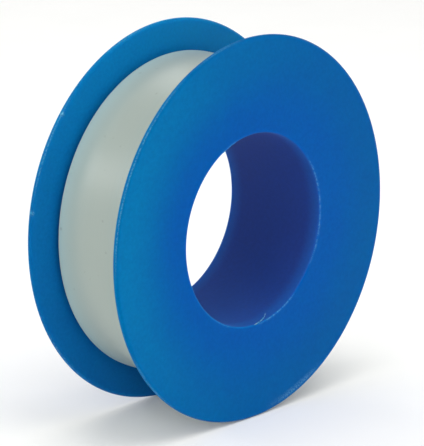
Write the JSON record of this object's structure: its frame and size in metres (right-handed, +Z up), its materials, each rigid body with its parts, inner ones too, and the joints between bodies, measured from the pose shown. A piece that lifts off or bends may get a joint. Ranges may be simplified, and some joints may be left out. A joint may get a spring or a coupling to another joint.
{
  "type": "thread seal tape roll",
  "caption": "Round snap-together spool with flat flanges and a plain bore, wound with thin white thread sealing film whose loose end lifts off the roll.",
  "frame": {"origin": "on the axis of the bore, midway between the outer faces of the flanges", "axes": "+Y along the bore, from the front flange to the rear flange; +Z up, with the roll standing on its two rims"},
  "size_m": [0.0508, 0.016, 0.0508],
  "materials": {
    "spool_plastic": "moulded polypropylene, satin, slightly translucent",
    "tape_film": "unsintered PTFE film, off-white, satin"
  },
  "bodies": {
    "roll": {"front_spool_half": "spool_plastic", "rear_spool_half": "spool_plastic", "tape_pack": "tape_film", "tape_last_turn": "tape_film"},
    "loose_end": {"tape_tail": "tape_film"}
  },
  "joints": [
    {"name": "tail_lift", "type": "hinge", "parent": "roll", "child": "loose_end", "pos_m": [0.00551, 0, 0.02054], "axis": [0, -1, 0], "range_deg": [0, 120]}
  ]
}
